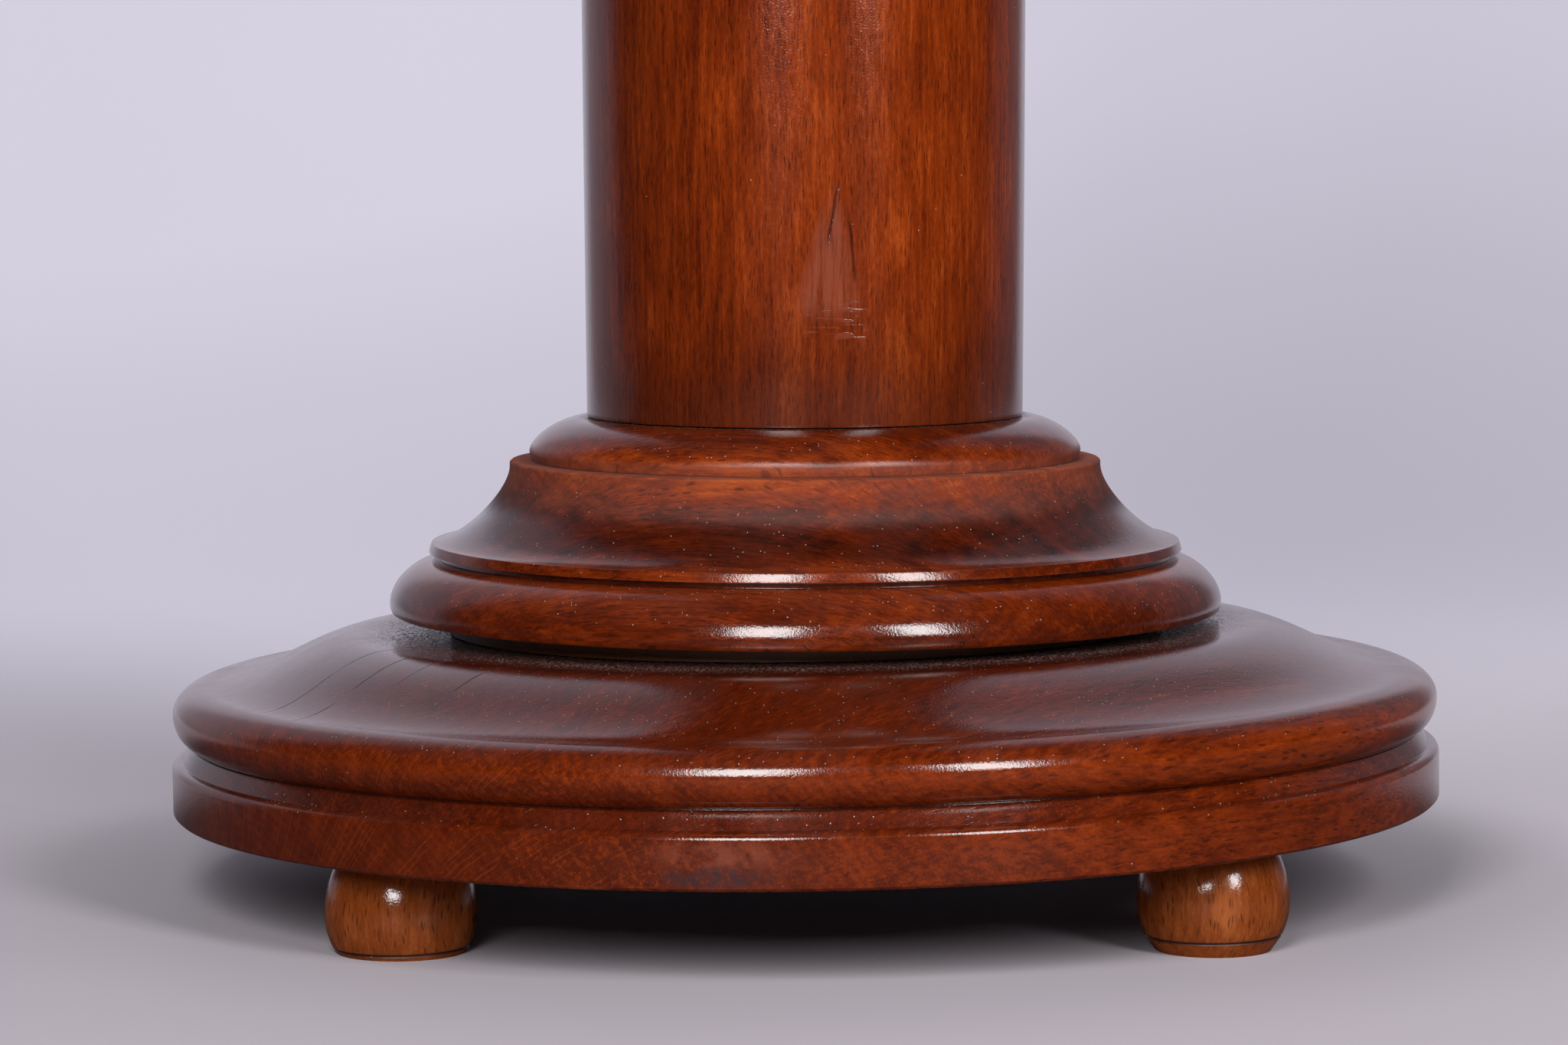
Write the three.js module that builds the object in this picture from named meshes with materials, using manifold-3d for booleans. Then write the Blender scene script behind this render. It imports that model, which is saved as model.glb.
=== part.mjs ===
// A round display pedestal in stained and polished beech, turned on the lathe.
// Millimetres, +Z up. The origin is on the column's axis, at the floor. The front is towards -Y.
import * as THREE from 'three';
import { mergeVertices } from 'three/addons/utils/BufferGeometryUtils.js';
import Module from 'manifold-3d';

const wasm = await Module();
wasm.setup();

// Whole pedestal. The left feet are sawn shorter, so the disc leans by this angle and the column stands plumb.
const totalHeight = 1100;
const undersideHeight = 26.7;
const discLeanDegrees = 0.7;
const joint = 0.3;

// Lower tier of the base disc, from the underside up
const plinthRadius = 179.5;
const plinthArris = 0.8;
const plinthSide = 12.9;
const plinthRoundWidth = 3;
const plinthRoundRise = 2.2;
const plinthSlopeRise = 4.4;
const grooveRadius = 173.5;
const grooveHeight = 0.8;

// Upper tier of the base disc: a half-round nose, then an S-curve up to the level seat
const noseRadius = 179;
const noseLowerRise = 8;
const noseUpperRise = 7.5;
const noseUpperWidth = 10;
const swellWidth = 42.8;
const swellRise = 13.1;

// Foot of the column: neck, thumb moulding, quirk, fillet, hollow, lip and collar
const neckRadius = 101;
const neckHeight = 4.4;
const thumbRadius = 118;
const thumbFootWidth = 1;
const thumbFootRise = 2.7;
const thumbCrownWidth = 14.4;
const thumbCrownRise = 12.5;
const quirkHeight = 1.8;
const filletRadius = 106.8;
const filletHeight = 2.7;
const filletArris = 0.8;
const hollowRise = 21.5;
const lipRadius = 83.8;
const lipHeight = 1.5;
const lipArris = 0.5;
const collarRadius = 78.2;
const collarTuck = 0.8;
const collarTuckRise = 2.5;
const collarCrownWidth = 14.7;
const collarCrownRise = 9.6;

// Shaft, with a slight swelling below its middle
const shaftFootRadius = 61.8;
const shaftBellyRadius = 63.1;
const shaftBellyHeight = 330;
const shaftTopRadius = 57;

// Capital: bead, hollow, fillet, ovolo and abacus
const beadProjection = 5;
const beadHeight = 8;
const bellWidth = 22;
const bellRise = 22;
const bellFillet = 4;
const bellStep = 2;
const ovoloWidth = 15;
const ovoloRise = 12;
const abacusHeight = 4;

// Top board, edged like the base disc turned over
const boardRadius = 150;
const boardNoseWidth = 12;
const boardNoseLowerRise = 6.5;
const boardNoseUpperRise = 6.5;
const boardGrooveDepth = 6;
const boardGrooveHeight = 1.1;
const boardRoundWidth = 5;
const boardRoundRise = 4;
const boardSide = 8;
const boardArris = 0.8;

// Four turned bun feet at the corners of a square, set in from the plinth's edge and sawn level at the floor
const footInset = 27.5;
const footBellyRadius = 20.3;
const footShoulderRise = 14.6;
const footShoulderCurve = 24.3;
const footGrooveDrop = 9.1;
const footGrooveDepth = 0.6;
const footGrooveWidth = 0.8;
const footToeDrop = 13.6;
const footToeRadius = 15;

// Reach of the handles of a quarter curve, as a share of its width and rise: 0.552 draws a true ellipse
const roundHandle = 0.552;
const thumbHandle = 0.49;
const collarHandle = 0.41;
const hollowHandle = 0.35;

// Fineness of the meshes
const turnedSides = 52;
const footSides = 16;
const arcSteps = 4;
const swellSteps = 6;
const shaftSteps = 3;
const footSteps = 3;

// Heights that follow from the sizes above. The seat's height is measured along the disc's own axis.
const discLean = THREE.MathUtils.degToRad(discLeanDegrees);
const plinthHeight = plinthSide + plinthRoundRise + plinthSlopeRise;
const seatHeight = plinthHeight + grooveHeight + noseLowerRise + noseUpperRise + swellRise;
const columnFoot = undersideHeight + seatHeight / Math.cos(discLean) + joint;
const thumbFoot = columnFoot + neckHeight;
const filletFoot = thumbFoot + thumbFootRise + thumbCrownRise + quirkHeight;
const lipFoot = filletFoot + filletHeight + hollowRise;
const columnTop = lipFoot + lipHeight + collarTuckRise + collarCrownRise;
const boardEdge = boardNoseLowerRise + boardNoseUpperRise + boardGrooveHeight;
const boardFoot = totalHeight - boardSide - boardRoundRise - boardEdge;
const capitalHeight = beadHeight + bellRise + bellFillet + ovoloRise + abacusHeight;
const capitalFoot = boardFoot - joint - capitalHeight;
const shaftFoot = columnTop + joint;
const shaftTop = capitalFoot - joint;
const footSpacing = (plinthRadius - footInset) * Math.SQRT2;

// A pen that draws half of a turned section, from the axis out, up and back to the axis.
class Section {
  constructor(height) {
    this.points = [new THREE.Vector2(0, height)];
  }

  get pen() {
    return this.points[this.points.length - 1];
  }

  to(radius, height) {
    this.points.push(new THREE.Vector2(radius, height));
    return this;
  }

  // A straight step outwards (or inwards, where width is negative) and up.
  by(width, rise) {
    return this.to(this.pen.x + width, this.pen.y + rise);
  }

  curve(finish, leave, arrive, steps) {
    const bezier = new THREE.CubicBezierCurve(this.pen, leave, arrive, finish);
    this.points.push(...bezier.getPoints(steps).slice(1));
    return this;
  }

  // A quarter curve that leaves level and arrives upright.
  levelToUpright(width, rise, handle, steps = arcSteps) {
    const { x, y } = this.pen;
    const finish = new THREE.Vector2(x + width, y + rise);
    const leave = new THREE.Vector2(x + width * handle, y);
    const arrive = new THREE.Vector2(finish.x, finish.y - rise * handle);
    return this.curve(finish, leave, arrive, steps);
  }

  // A quarter curve that leaves upright and arrives level.
  uprightToLevel(width, rise, handle, steps = arcSteps) {
    const { x, y } = this.pen;
    const finish = new THREE.Vector2(x + width, y + rise);
    const leave = new THREE.Vector2(x, y + rise * handle);
    const arrive = new THREE.Vector2(finish.x - width * handle, finish.y);
    return this.curve(finish, leave, arrive, steps);
  }

  // An S-curve that leaves and arrives level.
  swell(width, rise, steps) {
    const start = this.pen;
    for (let step = 1; step <= steps; step += 1) {
      const share = step / steps;
      const lift = (1 - Math.cos(Math.PI * share)) / 2;
      this.to(start.x + width * share, start.y + rise * lift);
    }
    return this;
  }

  // Closes the section on the axis and turns it.
  turn(sides) {
    this.to(0, this.pen.y);
    const geometry = new THREE.LatheGeometry(this.points, sides);
    geometry.rotateX(Math.PI / 2);
    return geometry;
  }
}

function baseDisc() {
  return new Section(0)
    .to(plinthRadius - plinthArris, 0)
    .by(plinthArris, plinthArris)
    .by(0, plinthSide - plinthArris)
    .uprightToLevel(-plinthRoundWidth, plinthRoundRise, roundHandle, arcSteps - 1)
    .to(grooveRadius, plinthHeight)
    .by(0, grooveHeight)
    .levelToUpright(noseRadius - grooveRadius, noseLowerRise, roundHandle)
    .uprightToLevel(-noseUpperWidth, noseUpperRise, roundHandle)
    .swell(-swellWidth, swellRise, swellSteps)
    .turn(turnedSides);
}

// The neck's end is cut to the leaning seat, so the thumb moulding above it stays level.
function columnBase() {
  const geometry = new Section(columnFoot)
    .to(neckRadius, columnFoot)
    .to(neckRadius, thumbFoot)
    .to(thumbRadius - thumbFootWidth, thumbFoot)
    .levelToUpright(thumbFootWidth, thumbFootRise, roundHandle, 2)
    .uprightToLevel(-thumbCrownWidth, thumbCrownRise, thumbHandle)
    .by(0, quirkHeight)
    .to(filletRadius, filletFoot)
    .by(0, filletHeight - filletArris)
    .by(-filletArris, filletArris)
    .levelToUpright(lipRadius - filletRadius + filletArris, hollowRise, hollowHandle)
    .by(0, lipHeight - lipArris)
    .by(-lipArris, lipArris)
    .to(collarRadius - collarTuck, lipFoot + lipHeight)
    .by(collarTuck, collarTuckRise)
    .uprightToLevel(-collarCrownWidth, collarCrownRise, collarHandle)
    .turn(turnedSides);
  const corners = geometry.getAttribute('position');
  for (let corner = 0; corner < corners.count; corner += 1) {
    const height = corners.getZ(corner);
    if (height < columnFoot + joint) {
      corners.setZ(corner, height + corners.getX(corner) * Math.tan(discLean));
    }
  }
  return geometry;
}

function shaft() {
  const length = shaftTop - shaftFoot;
  const radiusAt = (rise) => {
    const isBelow = rise < shaftBellyHeight;
    const end = isBelow ? shaftFootRadius : shaftTopRadius;
    const reach = isBelow ? shaftBellyHeight : length - shaftBellyHeight;
    return shaftBellyRadius - (shaftBellyRadius - end) * ((rise - shaftBellyHeight) / reach) ** 2;
  };
  const section = new Section(shaftFoot).to(shaftFootRadius, shaftFoot);
  for (let step = 1; step <= shaftSteps; step += 1) {
    const rise = (shaftBellyHeight * step) / shaftSteps;
    section.to(radiusAt(rise), shaftFoot + rise);
  }
  for (let step = 1; step <= shaftSteps; step += 1) {
    const rise = shaftBellyHeight + ((length - shaftBellyHeight) * step) / shaftSteps;
    section.to(radiusAt(rise), shaftFoot + rise);
  }
  return section.turn(turnedSides);
}

function capital() {
  return new Section(capitalFoot)
    .to(shaftTopRadius, capitalFoot)
    .levelToUpright(beadProjection, beadHeight / 2, roundHandle, 2)
    .uprightToLevel(-beadProjection, beadHeight / 2, roundHandle, 2)
    .uprightToLevel(bellWidth, bellRise, roundHandle, 3)
    .by(0, bellFillet)
    .by(bellStep, 0)
    .levelToUpright(ovoloWidth, ovoloRise, roundHandle, 3)
    .by(0, abacusHeight)
    .turn(turnedSides);
}

function topBoard() {
  const boardRoundFoot = boardFoot + boardEdge;
  return new Section(boardFoot)
    .to(boardRadius - boardNoseWidth, boardFoot)
    .levelToUpright(boardNoseWidth, boardNoseLowerRise, roundHandle, 3)
    .uprightToLevel(-boardGrooveDepth, boardNoseUpperRise, roundHandle, 3)
    .by(0, boardGrooveHeight)
    .to(boardRadius - boardRoundWidth, boardRoundFoot)
    .levelToUpright(boardRoundWidth, boardRoundRise, roundHandle, 2)
    .by(0, boardSide - boardArris)
    .by(-boardArris, boardArris)
    .turn(turnedSides);
}

// A bun foot hangs from its seat at height 0. Below its belly it is a sphere, above it a little taller.
function bunFoot() {
  const belly = -footShoulderRise;
  const toe = belly - footToeDrop;
  const lowerRadius = (drop) => Math.sqrt(footBellyRadius ** 2 - drop ** 2);
  const upperRadius = (rise) => footBellyRadius * Math.sqrt(1 - (rise / footShoulderCurve) ** 2);
  const grooveTop = footGrooveDrop - footGrooveWidth / 2;
  const grooveBottom = footGrooveDrop + footGrooveWidth / 2;
  const section = new Section(toe)
    .to(footToeRadius, toe)
    .to(lowerRadius(grooveBottom), belly - grooveBottom)
    .to(lowerRadius(footGrooveDrop) - footGrooveDepth, belly - footGrooveDrop);
  for (let step = 0; step <= footSteps; step += 1) {
    const drop = grooveTop * (1 - step / footSteps);
    section.to(lowerRadius(drop), belly - drop);
  }
  for (let step = 1; step <= footSteps; step += 1) {
    const rise = (footShoulderRise * step) / footSteps;
    section.to(upperRadius(rise), belly + rise);
  }
  return section.turn(footSides);
}

// A closed mesh as a solid that can be cut: corners merged, and the empty triangles at the axis left out.
function toSolid(geometry) {
  const bare = geometry.clone();
  bare.deleteAttribute('normal');
  bare.deleteAttribute('uv');
  const merged = mergeVertices(bare);
  const triangles = [];
  const index = merged.getIndex().array;
  for (let start = 0; start < index.length; start += 3) {
    const [a, b, c] = index.slice(start, start + 3);
    if (a !== b && b !== c && c !== a) {
      triangles.push(a, b, c);
    }
  }
  return new wasm.Manifold(new wasm.Mesh({
    numProp: 3,
    vertProperties: new Float32Array(merged.getAttribute('position').array),
    triVerts: new Uint32Array(triangles),
  }));
}

function toGeometry(solid) {
  const { vertProperties, triVerts } = solid.getMesh();
  const geometry = new THREE.BufferGeometry();
  geometry.setAttribute('position', new THREE.BufferAttribute(vertProperties, 3));
  geometry.setIndex(new THREE.BufferAttribute(triVerts, 1));
  geometry.computeVertexNormals();
  return geometry;
}

// Saws off whatever reaches below the floor.
function sawnAtFloor(geometry, x, y) {
  const size = 4 * footBellyRadius;
  const waste = new THREE.BoxGeometry(size, size, size);
  waste.translate(x, y, -size / 2);
  return toGeometry(toSolid(geometry).subtract(toSolid(waste)));
}

const polishedBeech = new THREE.MeshStandardMaterial({ color: 0x6b2a12, roughness: 0.25, metalness: 0 });
const darkBeech = new THREE.MeshStandardMaterial({ color: 0x54200f, roughness: 0.28, metalness: 0 });
const paleBeech = new THREE.MeshStandardMaterial({ color: 0x8a4f22, roughness: 0.32, metalness: 0 });

function piece(name, geometry, material) {
  const mesh = new THREE.Mesh(geometry, material);
  mesh.name = name;
  return mesh;
}

const pedestal = new THREE.Group();

const leaning = new THREE.Group();
leaning.position.z = undersideHeight;
leaning.rotation.y = -discLean;
leaning.add(piece('base_disc', baseDisc(), darkBeech));
pedestal.add(leaning);
pedestal.updateMatrixWorld(true);

for (const [depth, y] of [['front', -footSpacing / 2], ['back', footSpacing / 2]]) {
  for (const [side, x] of [['left', -footSpacing / 2], ['right', footSpacing / 2]]) {
    const foot = bunFoot();
    foot.translate(x, y, -joint);
    foot.applyMatrix4(leaning.matrixWorld);
    pedestal.add(piece(`foot_${depth}_${side}`, sawnAtFloor(foot, x, y), paleBeech));
  }
}

pedestal.add(piece('column_base', columnBase(), polishedBeech));
pedestal.add(piece('shaft', shaft(), polishedBeech));
pedestal.add(piece('capital', capital(), polishedBeech));
pedestal.add(piece('top_board', topBoard(), darkBeech));

export default pedestal;
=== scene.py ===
"""A round display pedestal in stained and French-polished beech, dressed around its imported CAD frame.

Metres, +Z up, the front towards -Y. Every turned piece is drawn as half a section and spun on the lathe axis,
then stands in for the CAD node of the same name. Sizes that the frame holds are read from it.
"""

import math
from contextlib import contextmanager

import bpy
from bpy.props import FloatProperty, FloatVectorProperty, PointerProperty
from mathutils import Euler, Matrix, Vector


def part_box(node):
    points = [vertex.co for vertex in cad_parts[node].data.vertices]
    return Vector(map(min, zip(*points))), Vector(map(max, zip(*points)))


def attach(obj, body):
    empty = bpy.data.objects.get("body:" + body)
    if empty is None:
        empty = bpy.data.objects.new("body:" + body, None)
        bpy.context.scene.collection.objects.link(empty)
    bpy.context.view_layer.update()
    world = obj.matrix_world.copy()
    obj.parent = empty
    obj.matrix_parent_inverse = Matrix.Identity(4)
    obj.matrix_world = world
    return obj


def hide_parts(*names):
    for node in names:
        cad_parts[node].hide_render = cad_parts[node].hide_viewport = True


bl_info = {
    "name": "Display Pedestal",
    "version": (1, 0, 0),
    "blender": (4, 5, 0),
    "location": "View3D > Sidebar > Pedestal",
    "description": "Turned beech pedestal with its polish, wear and dust, on a pale studio floor",
    "category": "Object",
}

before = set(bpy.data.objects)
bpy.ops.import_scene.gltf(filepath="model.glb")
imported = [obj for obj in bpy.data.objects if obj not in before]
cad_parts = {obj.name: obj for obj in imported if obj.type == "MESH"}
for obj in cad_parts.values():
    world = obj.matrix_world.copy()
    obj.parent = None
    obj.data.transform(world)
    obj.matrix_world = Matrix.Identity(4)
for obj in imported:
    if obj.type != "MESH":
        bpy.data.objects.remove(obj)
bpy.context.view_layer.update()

MM = 0.001
ROUND_HANDLE = 0.552
SMOOTH_ANGLE = math.radians(40)
WELD = 0.002 * MM
CUT_ACCURACY = 0.0001 * MM


# Sizes read from the frame

def low(node):
    """The lowest height of a CAD node."""
    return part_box(node)[0][2]


def high(node):
    """The highest height of a CAD node."""
    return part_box(node)[1][2]


def reach(node):
    """The largest radius of a turned CAD node."""
    lowest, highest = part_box(node)
    return (highest[1] - lowest[1]) / 2


def foot_spacing():
    """The distance between the axes of a front and a back foot."""
    front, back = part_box("foot_front_left"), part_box("foot_back_left")
    return (back[0][1] + back[1][1] - front[0][1] - front[1][1]) / 2


# Kinds of settings

def size(millimetres, description):
    """A length that the user gives, with its default in millimetres."""
    return FloatProperty(
        description=description, default=millimetres * MM, min=0.0, precision=5,
        subtype="DISTANCE", unit="LENGTH",
    )


def framed(metres, description):
    """A length whose default comes from the frame."""
    return size(metres / MM, description)


def angle(degrees, description):
    return FloatProperty(
        description=description, default=math.radians(degrees), subtype="ANGLE", unit="ROTATION"
    )


def share(default, description):
    return FloatProperty(description=description, default=default, min=0.0, max=1.0, subtype="FACTOR")


def colour(default, description):
    return FloatVectorProperty(
        description=description, default=default, size=3, min=0.0, max=1.0, subtype="COLOR"
    )


def named(group):
    """Names every setting of a group in the sidebar after its key."""
    for key, setting in group.__annotations__.items():
        setting.keywords["name"] = key.replace("_", " ").capitalize()
    return group


@named
class BaseDiscSizes(bpy.types.PropertyGroup):
    lean: angle(0.7, "Tilt of the disc, up to the right, because the left feet are sawn shorter")
    plinth_radius: framed(reach("base_disc"), "Radius of the lower tier")
    plinth_arris: size(0.8, "Bevel along the bottom edge")
    plinth_side: size(12.9, "Height of the upright side")
    round_width: size(3.0, "Width of the rounded edge")
    round_rise: size(2.2, "Height of the rounded edge")
    slope_rise: size(4.4, "Rise of the slope up to the groove")
    groove_radius: size(173.5, "Radius at the bottom of the groove")
    groove_height: size(0.8, "Height of the groove's wall")
    groove_corner: size(0.6, "Rounding at the bottom of the groove")
    nose_radius: size(179.0, "Radius of the upper tier")
    nose_lower_rise: size(8.0, "Height of the nose's underside")
    nose_upper_rise: size(7.5, "Height of the nose's upper side")
    nose_upper_width: size(10.0, "Width of the nose's upper side")
    swell_width: size(42.8, "Width of the S-curve up to the seat")
    swell_rise: size(13.1, "Rise of the S-curve up to the seat")


@named
class ColumnBaseSizes(bpy.types.PropertyGroup):
    neck_radius: size(101.0, "Radius of the neck on the disc")
    neck_height: size(4.4, "Height of the neck on the column's axis")
    thumb_radius: framed(reach("column_base"), "Radius of the thumb moulding")
    thumb_foot_width: size(1.0, "Rounding under the thumb moulding")
    thumb_foot_rise: size(2.7, "Height of that rounding")
    thumb_crown_width: size(14.4, "Width of the thumb's crown")
    thumb_crown_rise: size(12.5, "Height of the thumb's crown")
    quirk_height: size(1.8, "Height of the quirk over the thumb")
    fillet_radius: size(106.8, "Radius of the fillet")
    fillet_height: size(2.7, "Height of the fillet")
    fillet_arris: size(0.8, "How far the fillet leans in")
    lip_radius: size(83.8, "Radius of the lip over the hollow")
    lip_height: size(1.5, "Height of the lip")
    lip_arris: size(0.5, "Bevel on the lip")
    collar_radius: size(78.2, "Radius of the collar")
    collar_tuck: size(0.8, "Inward tuck at the collar's foot")
    collar_tuck_rise: size(2.5, "Height of that tuck")
    collar_crown_width: size(14.7, "Width of the collar's crown")
    collar_crown_rise: size(9.6, "Height of the collar's crown")


@named
class ShaftSizes(bpy.types.PropertyGroup):
    foot_radius: size(61.8, "Radius at the foot of the shaft")
    belly_radius: size(63.1, "Largest radius of the slight swelling")
    belly_height: size(330.0, "Height of the swelling over the shaft's foot")
    top_radius: size(57.0, "Radius at the top of the shaft")


@named
class CapitalSizes(bpy.types.PropertyGroup):
    bead_projection: size(5.0, "How far the bead stands out")
    bead_height: size(8.0, "Height of the bead")
    bell_width: size(22.0, "Width of the bell's hollow")
    bell_rise: size(22.0, "Height of the bell's hollow")
    bell_fillet: size(4.0, "Height of the fillet over the bell")
    bell_step: size(2.0, "Step under the ovolo")
    ovolo_width: size(15.0, "Width of the ovolo")
    ovolo_rise: size(12.0, "Height of the ovolo")


@named
class TopBoardSizes(bpy.types.PropertyGroup):
    radius: framed(reach("top_board"), "Radius of the board")
    nose_width: size(12.0, "Width of the nose's underside")
    nose_lower_rise: size(6.5, "Height of the nose's underside")
    nose_upper_rise: size(6.5, "Height of the nose's upper side")
    groove_depth: size(6.0, "Depth of the groove")
    groove_height: size(1.1, "Height of the groove's wall")
    round_width: size(5.0, "Width of the rounded edge")
    round_rise: size(4.0, "Height of the rounded edge")
    arris: size(0.8, "Bevel along the top edge")


@named
class BunFootSizes(bpy.types.PropertyGroup):
    joint: size(0.3, "Gap under the disc")
    belly_radius: size(20.3, "Largest radius of a foot")
    shoulder_rise: size(14.6, "Height from the belly to the seat")
    shoulder_curve: size(24.3, "Upright half axis of the shoulder's curve")
    groove_drop: size(9.1, "Depth of the groove below the belly")
    groove_depth: size(0.6, "Depth of the groove into the wood")
    groove_width: size(0.8, "Width of the groove")
    toe_drop: size(13.6, "Depth of the toe below the belly")
    toe_radius: size(15.0, "Radius of the toe")


@named
class BeechFinish(bpy.types.PropertyGroup):
    shadow: colour((0.014, 0.0019, 0.0008), "Stain where it is deepest")
    deep: colour((0.070, 0.0076, 0.0010), "Stain on most of the wood")
    warm: colour((0.170, 0.0215, 0.0018), "Stain where the wood took little of it")
    bright: colour((0.330, 0.0600, 0.0080), "Wood where the stain is rubbed thin")
    fleck: colour((0.009, 0.0018, 0.0009), "Dark ray flecks and open pores")
    pale_shadow: colour((0.060, 0.0110, 0.0020), "Darkest wood of the feet")
    pale_deep: colour((0.175, 0.0370, 0.0065), "Most of the wood of the feet")
    pale_bright: colour((0.280, 0.0760, 0.0170), "Lightest wood of the feet")
    raw: colour((0.170, 0.0660, 0.0240), "Bare wood of the neck")
    dust: colour((0.400, 0.3500, 0.3300), "Settled dust")
    milk: colour((0.190, 0.0450, 0.0220), "Milky, scuffed polish")
    smudge: colour((0.026, 0.0130, 0.0150), "Old dark smudge on the plinth")
    edge_wear: share(0.5, "How far the stain is rubbed off the edges")
    dustiness: share(0.5, "Dust on what faces up")


@named
class StudioSettings(bpy.types.PropertyGroup):
    lens: FloatProperty(description="Focal length on a 36 mm frame", default=115.7, subtype="DISTANCE_CAMERA")
    camera_distance: size(1428.9, "Distance from the column's axis")
    camera_height: size(224.1, "Height over the floor")
    camera_pitch: angle(4.781, "How far the camera looks down")
    camera_yaw: angle(0.2406, "How far the camera looks to the left")
    camera_roll: angle(-0.2, "Turn of the camera about its line of sight")
    lamp_distance: size(1600.0, "Distance of both softboxes from the base")
    lamp_elevation: angle(28.5, "Height of both softboxes, seen from the base")
    left_lamp_azimuth: angle(-11.0, "Direction of the left softbox, from the front")
    right_lamp_azimuth: angle(32.0, "Direction of the right softbox, from the front")
    left_lamp_width: size(420.0, "Width of the left softbox")
    right_lamp_width: size(330.0, "Width of the right softbox")
    lamp_height: size(780.0, "Height of both softboxes")
    lamp_power: FloatProperty(
        description="Power of the left softbox; the right one is as bright for its width",
        default=20.5, min=0.0, subtype="POWER", unit="POWER",
    )
    room: colour((0.60, 0.585, 0.69), "Light that comes from the pale room behind")
    dark_room: colour((0.022, 0.020, 0.022), "Light that comes from the room in front")
    floor: colour((0.450, 0.412, 0.455), "Paint of the floor and the sweep")
    glow: colour((0.43, 0.42, 0.50), "Light that the back wall gives, as if lit on its own")
    floor_glow: colour((0.15, 0.143, 0.155), "Light that the floor beside the pedestal adds")
    paper_half: size(850.0, "Half the width of the sweep that polish mirrors as lit")
    paper_front: size(160.0, "How far behind the column's axis polish starts to mirror the floor as lit")
    sweep_depth: size(1500.0, "Distance of the back wall")
    sweep_width: size(2600.0, "Half the width of the floor")
    sweep_height: size(2200.0, "Height of the back wall")
    sweep_front: size(2600.0, "Reach of the floor in front")
    sweep_bend: size(700.0, "Radius of the bend between floor and wall")


SETTINGS = {
    "pedestal_disc": BaseDiscSizes,
    "pedestal_column_base": ColumnBaseSizes,
    "pedestal_shaft": ShaftSizes,
    "pedestal_capital": CapitalSizes,
    "pedestal_board": TopBoardSizes,
    "pedestal_feet": BunFootSizes,
    "pedestal_finish": BeechFinish,
    "pedestal_studio": StudioSettings,
}


# Turning

class Section:
    """Half of a turned section, drawn from the axis out, up and back to the axis."""

    def __init__(self, height):
        self.points = [(0.0, height)]

    @property
    def pen(self):
        return self.points[-1]

    def to(self, radius, height):
        self.points.append((radius, height))
        return self

    def by(self, width, rise):
        radius, height = self.pen
        return self.to(radius + width, height + rise)

    def curve(self, finish, leave, arrive, steps):
        start = self.pen
        for step in range(1, steps + 1):
            t = step / steps
            weights = ((1 - t) ** 3, 3 * t * (1 - t) ** 2, 3 * t * t * (1 - t), t ** 3)
            corners = (start, leave, arrive, finish)
            self.to(*(sum(w * corner[axis] for w, corner in zip(weights, corners)) for axis in (0, 1)))
        return self

    def level_to_upright(self, width, rise, handle=ROUND_HANDLE, steps=14):
        """A quarter curve that leaves level and arrives upright."""
        x, y = self.pen
        finish = (x + width, y + rise)
        return self.curve(finish, (x + width * handle, y), (finish[0], finish[1] - rise * handle), steps)

    def upright_to_level(self, width, rise, handle=ROUND_HANDLE, steps=14):
        """A quarter curve that leaves upright and arrives level."""
        x, y = self.pen
        finish = (x + width, y + rise)
        return self.curve(finish, (x, y + rise * handle), (finish[0] - width * handle, finish[1]), steps)

    def crowned(self, width, rise, steps=8):
        """A nearly upright face that leans in a little more towards its top, as rubbing leaves it."""
        x, y = self.pen
        third = rise / 3
        finish = (x + width, y + rise)
        return self.curve(finish, (x + 0.17 * width, y + third), (x + 0.45 * width, y + rise - third), steps)

    def swell(self, width, rise, steps=30):
        """An S-curve that leaves and arrives level."""
        x, y = self.pen
        for step in range(1, steps + 1):
            t = step / steps
            self.to(x + width * t, y + rise * (1 - math.cos(math.pi * t)) / 2)
        return self

    def close(self):
        return self.to(0.0, self.pen[1])

    def softened(self, radius=0.35 * MM, sharp=math.radians(25), steps=3):
        """The points with every crisp corner rounded, as sanding leaves it."""
        soft = [self.points[0]]
        for before, corner, after in zip(self.points, self.points[1:], self.points[2:]):
            arm_in = Vector(corner) - Vector(before)
            arm_out = Vector(after) - Vector(corner)
            turn = arm_in.angle(arm_out, 0.0)
            if turn < sharp:
                soft.append(corner)
                continue
            cut = min(radius * math.tan(turn / 2), 0.45 * arm_in.length, 0.45 * arm_out.length)
            start = Vector(corner) - arm_in.normalized() * cut
            finish = Vector(corner) + arm_out.normalized() * cut
            for step in range(steps + 1):
                t = step / steps
                point = start * (1 - t) ** 2 + Vector(corner) * 2 * t * (1 - t) + finish * t * t
                soft.append(tuple(point))
        soft.append(self.points[-1])
        return soft


@contextmanager
def whole_mesh():
    """Edit mode on the piece in hand with all of it selected, and object mode again after."""
    bpy.ops.object.mode_set(mode="EDIT")
    bpy.ops.mesh.select_all(action="SELECT")
    yield
    bpy.ops.object.mode_set(mode="OBJECT")


def turn_piece(name, section, sides=256):
    """Draws the section as a chain of edges and spins it round the Z axis into a closed piece."""
    points = section.softened()
    (radius, height) = points[0]
    bpy.ops.object.select_all(action="DESELECT")
    bpy.ops.mesh.primitive_plane_add(size=2 * MM, location=(0, 0, 0))
    piece = bpy.context.object
    piece.name = name
    piece.data.name = name
    with whole_mesh():
        bpy.ops.mesh.merge(type="CENTER")
        bpy.ops.transform.translate(value=(radius, 0, height))
        for before, after in zip(points, points[1:]):
            step = (after[0] - before[0], 0, after[1] - before[1])
            bpy.ops.mesh.extrude_region_move(TRANSFORM_OT_translate={"value": step})
        bpy.ops.mesh.select_all(action="SELECT")
        bpy.ops.mesh.spin(steps=sides, angle=math.tau, center=(0, 0, 0), axis=(0, 0, 1))
        close_mesh()
    return piece


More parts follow.
